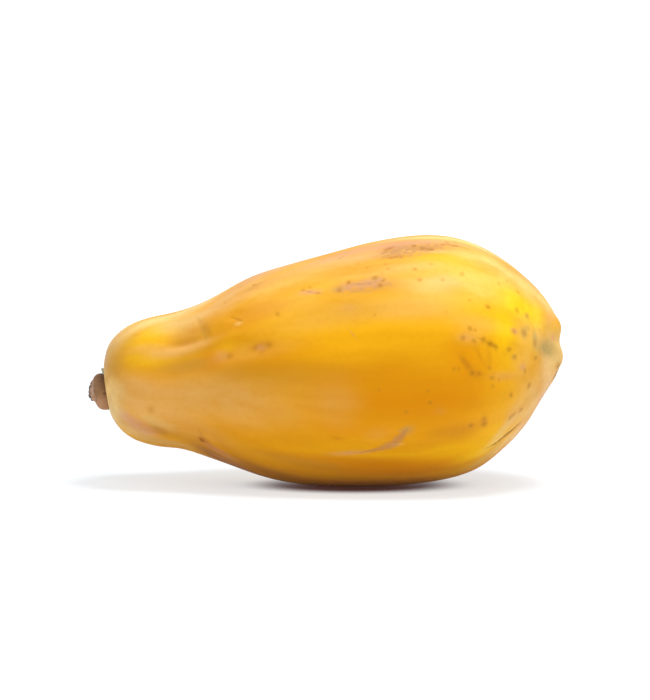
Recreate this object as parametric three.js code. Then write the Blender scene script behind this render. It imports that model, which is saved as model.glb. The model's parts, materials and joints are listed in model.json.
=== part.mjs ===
// A ripe pear-shaped papaya lying on its belly, with the dry stub of its stalk still in the neck.
// Millimetres, +Z up. +X runs from the stalk to the blossom end, and -Y is the best side.
import * as THREE from 'three';

// The core line of the fruit as it lies, from the shoulder round the stalk to the blossom end.
const corePoints = [
  [0, 0, 41.4], [25, 0.8, 45.0], [60, 1.2, 46.6], [100, 0.2, 49.7], [150, -0.8, 56.6], [200, 0.4, 61.6],
];

// The skin as [distance along the core line, radius].
const shoulderAndNeck = [[0.2, 9.6], [1.2, 13.6], [4.2, 19.3], [10, 24.3], [20, 28.2], [33, 30.4]];
const belly = [[48, 36.0], [64, 43.0], [80, 47.7], [100, 51.4], [122, 53.6], [142, 53.8], [157, 51.4]];
const blossomEnd = [[169, 46.2], [180, 38.4], [188, 29.9], [195, 20.8], [198.8, 14.0], [200.2, 8.0]];
const pitFloor = 197.6;               // the blossom pit's floor, along the core line
const ringsPerStation = 3;
const fruitSides = 72;

const lobeCount = 5;                  // one for each carpel
const lobeTurn = THREE.MathUtils.degToRad(54);
const neckLobing = 0.014;             // how far the lobes swell, as a share of the radius
const bellyLobing = 0.005;
const tipGroove = 1.5;                // depth of the five grooves that run into the blossom pit
const tipGrooveReach = 16;            // how far along the fruit they fade out
const tipGrooveRadius = 4.5;          // they are deepest at this radius and beyond
const tipLean = 0.06;                 // slope of the tip's face, which looks a little upwards
const undersideSlope = 0.09;          // how much of the radius the blossom end lacks underneath
const restSink = 1.0;                 // how far the belly is flattened where it rests

// The stalk, with its root in a socket of the fruit and five dry calyx lobes on the shoulder.
const fitGap = 0.3;
const stalkDrop = 1.4;                // it stands a little below the middle of the shoulder
const rootDepth = 3;
const rootRadius = 7.4;
const calyxReach = [10.7, 9.3, 8.8, 9.0, 9.6];
const calyxHalfAngle = 0.45;
const calyxUnderside = 0.15;          // these distances run outwards from the shoulder
const calyxThickness = 0.7;
const stalkOutline = [[1.2, 7.6], [2.2, 8.0], [3.4, 7.5], [4.6, 6.1], [5.8, 5.0], [6.6, 4.8]];
const stalkRidges = 9;
const stalkRidgeHeight = 0.25;
const tornHeight = 0.5;               // how ragged the torn end is
const tornHollow = 1.2;
const stalkSides = 45;

const skin = new THREE.MeshStandardMaterial({ color: 0xe8a52a, roughness: 0.42, metalness: 0 });
const bark = new THREE.MeshStandardMaterial({ color: 0x86684b, roughness: 0.85, metalness: 0 });

const coreLine = new THREE.CatmullRomCurve3(corePoints.map((point) => new THREE.Vector3(...point)));
const coreLength = coreLine.getLength();

// The point at an angle and a radius round the core line, which runs straight on past its ends.
// Angle 0 faces -Y, and a quarter turn is up.
function aroundCore(distance, radius, angle) {
  const share = THREE.MathUtils.clamp(distance / coreLength, 0, 1);
  const along = coreLine.getTangentAt(share);
  const centre = coreLine.getPointAt(share).addScaledVector(along, distance - share * coreLength);
  const front = new THREE.Vector3(0, -1, 0).addScaledVector(along, along.y).normalize();
  const up = new THREE.Vector3().crossVectors(front, along);
  centre.addScaledVector(front, radius * Math.cos(angle));
  return centre.addScaledVector(up, radius * Math.sin(angle));
}

// The same round the line of the stalk, which runs beside the core line.
function aroundStalk(distance, radius, angle) {
  const upwards = aroundCore(distance, 1, Math.PI / 2).sub(aroundCore(distance, 0, 0));
  return aroundCore(distance, radius, angle).addScaledVector(upwards, -stalkDrop);
}

// A closed solid through rings of points, with a point in the middle of each end.
function solidFromRings(startPoint, rings, endPoint) {
  const sides = rings[0].length;
  const points = [startPoint, ...rings.flat(), endPoint];
  const triangles = [];
  for (let side = 0; side < sides; side += 1) {
    const next = (side + 1) % sides;
    triangles.push(0, 1 + side, 1 + next);
    for (let ring = 1; ring < rings.length; ring += 1) {
      const near = 1 + (ring - 1) * sides;
      const far = near + sides;
      triangles.push(near + side, far + side, near + next);
      triangles.push(near + next, far + side, far + next);
    }
    const last = points.length - 1;
    triangles.push(last, last - sides + next, last - sides + side);
  }
  const solid = new THREE.BufferGeometry().setFromPoints(points);
  solid.setIndex(triangles);
  solid.computeVertexNormals();
  return solid;
}

function ringOfAngles(sides) {
  return Array.from({ length: sides }, (_, side) => (2 * Math.PI * side) / sides);
}

// One point of the skin: round in the belly, gently five-sided in the neck, grooved at the tip.
function skinPoint(distance, radius, angle) {
  const lobe = Math.cos(lobeCount * (angle - lobeTurn));
  const bellyShare = THREE.MathUtils.smoothstep(distance, shoulderAndNeck.at(-1)[0], belly.at(-1)[0]);
  const lobing = THREE.MathUtils.lerp(neckLobing, bellyLobing, bellyShare);
  const tipShare = THREE.MathUtils.smoothstep(distance, pitFloor - tipGrooveReach, pitFloor);
  const nearPit = Math.min(1, radius / tipGrooveRadius);
  const groove = tipGroove * tipShare * nearPit * (1 - lobe) / 2;
  const slopeShare = THREE.MathUtils.smoothstep(distance, belly.at(-1)[0], blossomEnd[2][0]);
  const slope = undersideSlope * slopeShare * ((1 - Math.sin(angle)) / 2) ** 2;
  const lean = tipLean * tipShare * radius * Math.sin(angle);
  return aroundCore(distance - groove + lean, radius * (1 + lobing * lobe - slope), angle);
}

function makeFruit() {
  const stations = [...shoulderAndNeck, ...belly, ...blossomEnd, [pitFloor, 0]];
  const outline = new THREE.SplineCurve(stations.map((station) => new THREE.Vector2(...station)));
  const skinStations = outline.getPoints((stations.length - 1) * ringsPerStation).slice(0, -1);
  const angles = ringOfAngles(fruitSides);
  const socketFloor = rootDepth + fitGap;
  const socketRadius = rootRadius + fitGap;
  const rings = [socketFloor, shoulderAndNeck[0][0] + fitGap].map(
    (distance) => angles.map((angle) => aroundStalk(distance, socketRadius, angle)));
  for (const { x: distance, y: radius } of skinStations) {
    rings.push(angles.map((angle) => skinPoint(distance, radius, angle)));
  }
  return solidFromRings(aroundStalk(socketFloor, 0, 0), rings, aroundCore(pitFloor, 0, 0));
}

// Presses the lowest part of the fruit flat and returns the height of that flat spot.
function flattenRest(fruit) {
  fruit.computeBoundingBox();
  const restHeight = fruit.boundingBox.min.z + restSink;
  const points = fruit.attributes.position;
  for (let index = 0; index < points.count; index += 1) {
    points.setZ(index, Math.max(points.getZ(index), restHeight));
  }
  fruit.computeVertexNormals();
  return restHeight;
}

// The reach of the calyx at an angle: pointed lobes, with the first one at the top.
function calyxRadius(angle) {
  const turn = (2 * Math.PI) / calyxReach.length;
  const fromTop = (angle - Math.PI / 2 + 2 * Math.PI) % (2 * Math.PI);
  const nearest = Math.round(fromTop / turn);
  const offset = Math.abs(fromTop - nearest * turn);
  const rise = Math.max(0, 1 - offset / calyxHalfAngle);
  const root = stalkOutline[0][1] + fitGap;
  return root + (calyxReach[nearest % calyxReach.length] - root) * rise;
}

// The stalk's bark stands in ridges, and its free end is torn and hollow.
function makeStalk() {
  const angles = ringOfAngles(stalkSides);
  const ridge = (angle) => stalkRidgeHeight * Math.cos(stalkRidges * angle) * Math.cos(angle - 1);
  const torn = (angle) => tornHeight * (Math.sin(2 * angle + 0.6) + 0.6 * Math.sin(7 * angle));
  const rings = [
    angles.map((angle) => aroundStalk(rootDepth, rootRadius, angle)),
    angles.map((angle) => aroundStalk(-calyxUnderside, rootRadius, angle)),
    angles.map((angle) => aroundStalk(-calyxUnderside, calyxRadius(angle), angle)),
    angles.map((angle) => aroundStalk(-calyxUnderside - calyxThickness, calyxRadius(angle), angle)),
  ];
  for (const [distance, radius] of stalkOutline.slice(0, -1)) {
    rings.push(angles.map((angle) => aroundStalk(-distance, radius + ridge(angle), angle)));
  }
  const [endDistance, endRadius] = stalkOutline.at(-1);
  for (const share of [1, 0.8, 0.45]) {
    rings.push(angles.map((angle) => {
      const hollow = tornHollow * (1 - share * share);
      return aroundStalk(hollow - endDistance - share * torn(angle), endRadius * share, angle);
    }));
  }
  const root = aroundStalk(rootDepth, 0, 0);
  const end = aroundStalk(tornHollow - endDistance, 0, 0);
  return solidFromRings(root, rings.map((ring) => [...ring].reverse()), end);
}

const papaya = new THREE.Group();
const fruitSolid = makeFruit();
const restHeight = flattenRest(fruitSolid);
const fruit = new THREE.Mesh(fruitSolid, skin);
fruit.name = 'fruit';
const stalk = new THREE.Mesh(makeStalk(), bark);
stalk.name = 'stalk';
papaya.add(fruit, stalk);

// The origin is under the middle of the whole, on the surface that it lies on.
const middle = new THREE.Box3().setFromObject(papaya).getCenter(new THREE.Vector3());
papaya.position.set(-middle.x, -middle.y, -restHeight);

export default papaya;
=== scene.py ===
# A ripe papaya on a white studio floor: waxy mottled rind, scars and flecks, and a torn woody stalk.
import json
import math

import bpy
import numpy as np
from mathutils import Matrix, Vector

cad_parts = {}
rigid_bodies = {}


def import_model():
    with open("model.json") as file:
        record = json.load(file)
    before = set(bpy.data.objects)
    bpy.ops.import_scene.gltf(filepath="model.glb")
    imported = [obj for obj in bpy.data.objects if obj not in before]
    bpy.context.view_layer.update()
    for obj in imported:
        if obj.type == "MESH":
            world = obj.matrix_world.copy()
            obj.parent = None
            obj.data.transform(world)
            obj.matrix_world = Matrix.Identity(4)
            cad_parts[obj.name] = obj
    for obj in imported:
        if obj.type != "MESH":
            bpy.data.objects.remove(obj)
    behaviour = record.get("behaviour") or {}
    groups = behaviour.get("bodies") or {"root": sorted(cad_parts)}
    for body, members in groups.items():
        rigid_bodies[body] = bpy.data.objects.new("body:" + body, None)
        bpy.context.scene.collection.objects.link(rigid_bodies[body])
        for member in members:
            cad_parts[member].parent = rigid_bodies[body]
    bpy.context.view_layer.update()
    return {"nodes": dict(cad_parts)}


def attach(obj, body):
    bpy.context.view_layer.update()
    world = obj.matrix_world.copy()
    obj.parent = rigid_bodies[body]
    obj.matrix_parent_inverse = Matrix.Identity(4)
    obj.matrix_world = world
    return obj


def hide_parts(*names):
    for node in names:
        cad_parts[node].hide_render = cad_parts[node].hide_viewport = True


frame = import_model()
mm = 0.001


def linearColour(hexCode):
    channels = [int(hexCode[i:i + 2], 16) / 255 for i in (0, 2, 4)]
    return [c / 12.92 if c <= 0.04045 else ((c + 0.055) / 1.055) ** 2.4 for c in channels] + [1.0]


# clears the node tree of a material or world, and gives the function that adds a node to it
def nodesOf(holder):
    holder.use_nodes = True
    tree = holder.node_tree
    tree.nodes.clear()

    def addNode(kind, settings=None, links=None):
        node = tree.nodes.new("ShaderNode" + kind)
        for name, value in (settings or {}).items():
            if isinstance(name, int) or name in node.inputs:
                node.inputs[name].default_value = value
            else:
                setattr(node, name, value)
        for name, source in (links or {}).items():
            tree.links.new(source, node.inputs[name])
        return node.outputs

    return addNode


# the settings that map two values to 0 and 1, or to the next two
def rangeOf(limits, smooth=False):
    settings = dict(zip(("From Min", "From Max", "To Min", "To Max"), limits))
    return {**settings, "interpolation_type": "SMOOTHSTEP"} if smooth else settings


# noises on a piece: each one's size in mm, how much it is drawn out lengthwise, its detail and roughness
def makeNoises(addNode, noises):
    place = addNode("TexCoord")["Object"]
    made = {}
    for name, (size, stretch, detail, roughness) in noises.items():
        drawnOut = addNode("Mapping", {"Scale": (stretch, 1, 1)}, {"Vector": place})[0]
        settings = {"Scale": 1 / (size * mm), "Detail": detail, "Roughness": roughness}
        made[name] = addNode("TexNoise", settings, {"Vector": drawnOut})
    return made


def selectOnly(*objects):
    bpy.ops.object.select_all(action="DESELECT")
    for thing in objects:
        thing.select_set(True)
    bpy.context.view_layer.objects.active = objects[0]


# camera: a long lens a little above the fruit
camera = {
    "distance": 1200 * mm,
    "elevation": 5.0,           # degrees
    "aimHeight": 59.6 * mm,
    "mmPerPixel": 1 / 2.28,     # at the fruit's middle
    "frameSize": (650, 700),    # pixels
    "clipEnd": 20,
}


def makeCamera():
    tilt = math.radians(camera["elevation"])
    back = Vector((0, -math.cos(tilt), math.sin(tilt)))
    bpy.ops.object.camera_add()
    cam = bpy.context.object
    cam.name = "studioCamera"
    cam.location = Vector((0, 0, camera["aimHeight"])) + back * camera["distance"]
    cam.rotation_euler = (math.pi / 2 - tilt, 0, 0)
    longSide = max(camera["frameSize"]) * camera["mmPerPixel"] * mm
    cam.data.lens = cam.data.sensor_width * camera["distance"] / longSide
    cam.data.clip_end = camera["clipEnd"]
    bpy.context.scene.camera = cam
    bpy.context.view_layer.update()
    return cam


# the ray through a place in the frame, counted across and down in pixels
def rayThrough(across, down):
    halfWide, halfHigh = [side / 2 for side in camera["frameSize"]]
    sideways = (across - halfWide) * camera["mmPerPixel"] * mm
    upwards = (halfHigh - down) * camera["mmPerPixel"] * mm
    turn = studioCamera.matrix_world.to_3x3()
    return studioCamera.location, (turn @ Vector((sideways, upwards, -camera["distance"]))).normalized()


studioCamera = makeCamera()
print("camera placed")

# lights: a pale tent, brighter behind the fruit, one soft box overhead and a weak one in front
lights = {
    "tent": (-1, 1, 0.36, 0.95), "paper": 1.0,      # front to back; paper is what the camera sees of it
    "overhead": {"place": (0.20, -0.14, 1.02), "size": 0.36, "power": 7.9},
    "front": {"place": (0.25, -1.05, 0.95), "size": 0.80, "power": 6.4},
    "aim": (0, 0, 0.05),
    "floorSize": 8.0, "floorBounce": 0.86, "floorSeen": (0.34, 0.37, 0.40),
    "glow": (250 * mm, 900 * mm, 0.60, 1.05),       # away from the middle
    # close under the fruit, a painted contact shadow: how near the rind is, the side most light comes from,
    # the warm dark painted there
    "contact": 16 * mm, "openSide": (0, 0.72, 0.69), "contactShadowColour": "4a1a0a", "openness": (0.16, 0.80),
    # the oval under the fruit that the painted contact shadow keeps to: its middle, size and fade
    "contactMiddle": (13 * mm, 3 * mm, 0), "contactSize": (47 * mm, 30 * mm, 1), "contactFade": (0.65, 1.18),
}


# one shader for the rays that light the fruit and another for what the camera sees
def splitByRay(addNode, output, lighting, seen):
    rays = addNode("LightPath")["Is Camera Ray"]
    both = addNode("MixShader", {}, {0: rays, 1: lighting, 2: seen})
    addNode(output, {}, {"Surface": both[0]})


def makeTent():
    world = bpy.data.worlds.new("whiteTent")
    bpy.context.scene.world = world
    addNode = nodesOf(world)
    white = linearColour("ffffff")
    way = addNode("SeparateXYZ", {}, {0: addNode("TexCoord")["Generated"]})
    behind = addNode("MapRange", rangeOf(lights["tent"]), {"Value": way["Y"]})[0]
    glow = addNode("Background", {"Color": white}, {"Strength": behind})[0]
    paper = addNode("Background", {"Color": white, "Strength": lights["paper"]})[0]
    splitByRay(addNode, "OutputWorld", glow, paper)


def makeSoftBoxes():
    for name in ("overhead", "front"):
        box = lights[name]
        bpy.ops.object.light_add(type="AREA", location=box["place"])
        lamp = bpy.context.object
        lamp.name = name + "SoftBox"
        lamp.data.size = box["size"]
        lamp.data.energy = box["power"]
        aim = Vector(lights["aim"]) - lamp.location
        lamp.rotation_euler = aim.to_track_quat("-Z", "Y").to_euler()


# the floor glows like a lit acrylic table, so its shadow stays pale except close under the fruit, where a
# warm contact shadow is painted into its colour
def makeFloor():
    bpy.ops.mesh.primitive_plane_add(size=lights["floorSize"])
    floor = bpy.context.object
    floor.name = "studioFloor"
    acrylic = bpy.data.materials.new("litWhiteAcrylic")
    addNode = nodesOf(acrylic)
    place = addNode("TexCoord")["Object"]
    tilted = addNode("CombineXYZ", dict(enumerate(lights["openSide"])))[0]
    # painted contact shadow: an occlusion node darkens the floor's colour towards a warm dark, only inside an
    # oval under the fruit
    clear = addNode("AmbientOcclusion", {"Distance": lights["contact"]}, {"Normal": tilted})["AO"]
    opened = addNode("MapRange", rangeOf(lights["openness"]), {"Value": clear})[0]
    aside = addNode("VectorMath", {"operation": "SUBTRACT", 1: lights["contactMiddle"]}, {0: place})[0]
    scaled = addNode("VectorMath", {"operation": "DIVIDE", 1: lights["contactSize"]}, {0: aside})[0]
    beyond = addNode("VectorMath", {"operation": "LENGTH"}, {0: scaled})["Value"]
    fade = rangeOf(lights["contactFade"], smooth=True)
    opening = addNode("MapRange", fade, {"Value": beyond, "To Min": opened})[0]
    tints = []
    for colour in ([*lights["floorSeen"], 1], linearColour("ffffff")):
        settings = {"data_type": "RGBA", 6: linearColour(lights["contactShadowColour"]), 7: colour}
        tints.append(addNode("Mix", settings, {0: opening})[2])
    away = addNode("VectorMath", {"operation": "LENGTH"}, {0: place})["Value"]
    glows = addNode("MapRange", rangeOf(lights["glow"]), {"Value": away})[0]
    shaded = addNode("BsdfDiffuse", {}, {"Color": tints[0]})[0]
    glow = addNode("Emission", {}, {"Color": tints[1], "Strength": glows})[0]
    lit = addNode("AddShader", {}, {0: shaded, 1: glow})[0]
    bounce = addNode("BsdfDiffuse", {"Color": [lights["floorBounce"]] * 3 + [1]})[0]
    splitByRay(addNode, "OutputMaterial", bounce, lit)
    floor.data.materials.append(acrylic)


makeTent()
makeSoftBoxes()
makeFloor()
bpy.context.scene.view_settings.view_transform = "Standard"
print("studio lit")

# rind: the fruit's own outside, a welded copy of the CAD solid, smoothed and then shaped; sizes in mm
rind = {
    "weld": 0.02, "smoothLevels": 2, "seed": 11,
    "swells": [(34.0, 0.30), (12.0, 0.06)],      # size and height of its slow unevenness
    "flatUpTo": 1.5, "flatFade": 8,              # the resting place stays flat
    "patchFall": (0.9, 1.4),                     # how fast a patch fades from its middle, and how sharply
    "finest": 0.9, "foldEnds": 4, "strokeEnds": 20,
    # what is drawn by lot for the marks on the side turned away
    "backMarks": {"count": 60, "size": (0.6, 1.3), "tilt": (-20, 20), "strength": (0.45, 0.9)},
    "backFlecks": {"count": 130, "radius": (0.35, 0.95), "dark": (0.3, 0.85)},
    "underneath": (0.25, 0.6), "towardsStalk": 0.25, "endsFrom": 0.7,
    # marks of one layer keep their reach apart; most flecks are longer than wide
    "fleckLayers": 5, "fleckReach": 3.6, "fleckSquash": 0.25, "strokeLayers": 2, "strokeReach": 6.0,
}

# dents and swellings: across, down, half length, half width and height in mm, and any tilt in degrees
dents = {
    "neckHollow": (189, 337, 9, 4.4, -1.2, 8), "hollowTail": (234, 316, 8, 2.6, -0.4, -14),
    "underRidge": (243, 350, 9, 3.4, -0.45, 8), "shoulderSwell": (150, 348, 10, 8, 0.35),
    "pinkScar": (138, 426, 9, 4, -0.25, -20), "lowNeck": (206, 452, 12, 2.5, -0.35, -24),
    "bruise": (263, 347, 4, 2.2, -0.25, 8), "browScar": (360, 286, 12, 4, -0.25, 4),
    "crownScar": (412, 248, 16, 4, -0.35, 2), "flank": (330, 380, 46, 6, -0.25, 2),
    "lowScar": (395, 446, 7, 2.5, -0.2, 20), "lowBruise": (452, 430, 13, 5, -0.3),
    "cheek": (470, 352, 26, 5, -0.25, -6), "cheekSwell": (505, 330, 14, 8, 0.18),
    "tipUpperLip": (556, 329, 5, 5.2, 2.1), "tipLowerLip": (557, 359, 5, 6, 2.1),
    "tipNotch": (559, 342, 4, 1.6, -0.8), "lowRight": (468, 440, 24, 7, -0.8, 12),
    "tipUnder": (547, 384, 6, 5, 0.6),
}

# folds and creases that run along the skin: points in the frame, then half width and height in mm
folds = {
    "neckRidge": ([(148, 357), (165, 354), (182, 351), (202, 346), (220, 340), (250, 333), (300, 331)],
        2.3, 0.32),
    "hollowFloor": ([(165, 346), (186, 345), (208, 339), (226, 333)], 1.6, -0.36),
    "hollowCrack": ([(199, 319), (201, 324), (204, 332), (207, 339)], 1.2, -0.35),
    "crackLip": ([(205, 317), (208, 323), (211, 331), (214, 339)], 1.6, 0.22),
    "notch": ([(230, 317), (236, 318.5), (243, 321.5)], 0.8, -0.26),
    "notchLip": ([(234, 324), (238, 323.5), (243, 325.5)], 1, 0.12),
    "lowNeckFold": ([(198, 426), (212, 437), (226, 448), (244, 458)], 1.3, -0.35),
    "flankLine": ([(300, 343), (350, 340), (420, 338)], 2.2, -0.1),
    "flankLineAbove": ([(330, 326), (380, 323), (450, 322)], 1.6, -0.09),
    "browLine": ([(335, 309), (385, 306), (455, 300), (500, 296)], 1.4, 0.1),
    "browGroove": ([(440, 290), (470, 287), (505, 287)], 1.2, -0.09),
    "cheekCrease": ([(455, 346), (462, 358), (470, 372)], 1.5, -0.22),
    "cheekCreaseTwo": ([(472, 344), (479, 356), (484, 368)], 1.4, -0.14),
    "cheekCreaseThree": ([(488, 347), (490, 358), (493, 370)], 1.4, -0.08),
    "crownCrease": ([(386, 249), (402, 247), (430, 250)], 1, -0.22),
}

# ripe papaya rind: a thin waxy skin, satin rather than glossy, whose yellow and orange run into each other;
# each tone has its colour, the noise that frays its patches and how much; the pale tone mostly paints
# highlights and grazing reflections, and plum paints shade along the bottom edge
tones = {
    "yellow": ("e6ae08", "cloud", 0.3), "lemon": ("f2c400", "cloud", 0.2), "orange": ("cf8200", "cloud", 0.4),
    "ochre": ("bd8528", "cloud", 0.3), "tan": ("d6a464", "band", 0.3), "sallow": ("d9bf84", "band", 0.2),
    "pale": ("f3cf86", "band", 0.3), "plum": ("8a5238", "cloud", 0.3), "olive": ("a58b50", "mottle", 0.25),
    "bruise": ("b06c10", "mottle", 0.25), "mauve": ("b6844e", "mottle", 0.8),
    "rose": ("cb9270", "mottle", 0.3), "scab": ("7d5c36", "mottle", 0.9),
}

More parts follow.
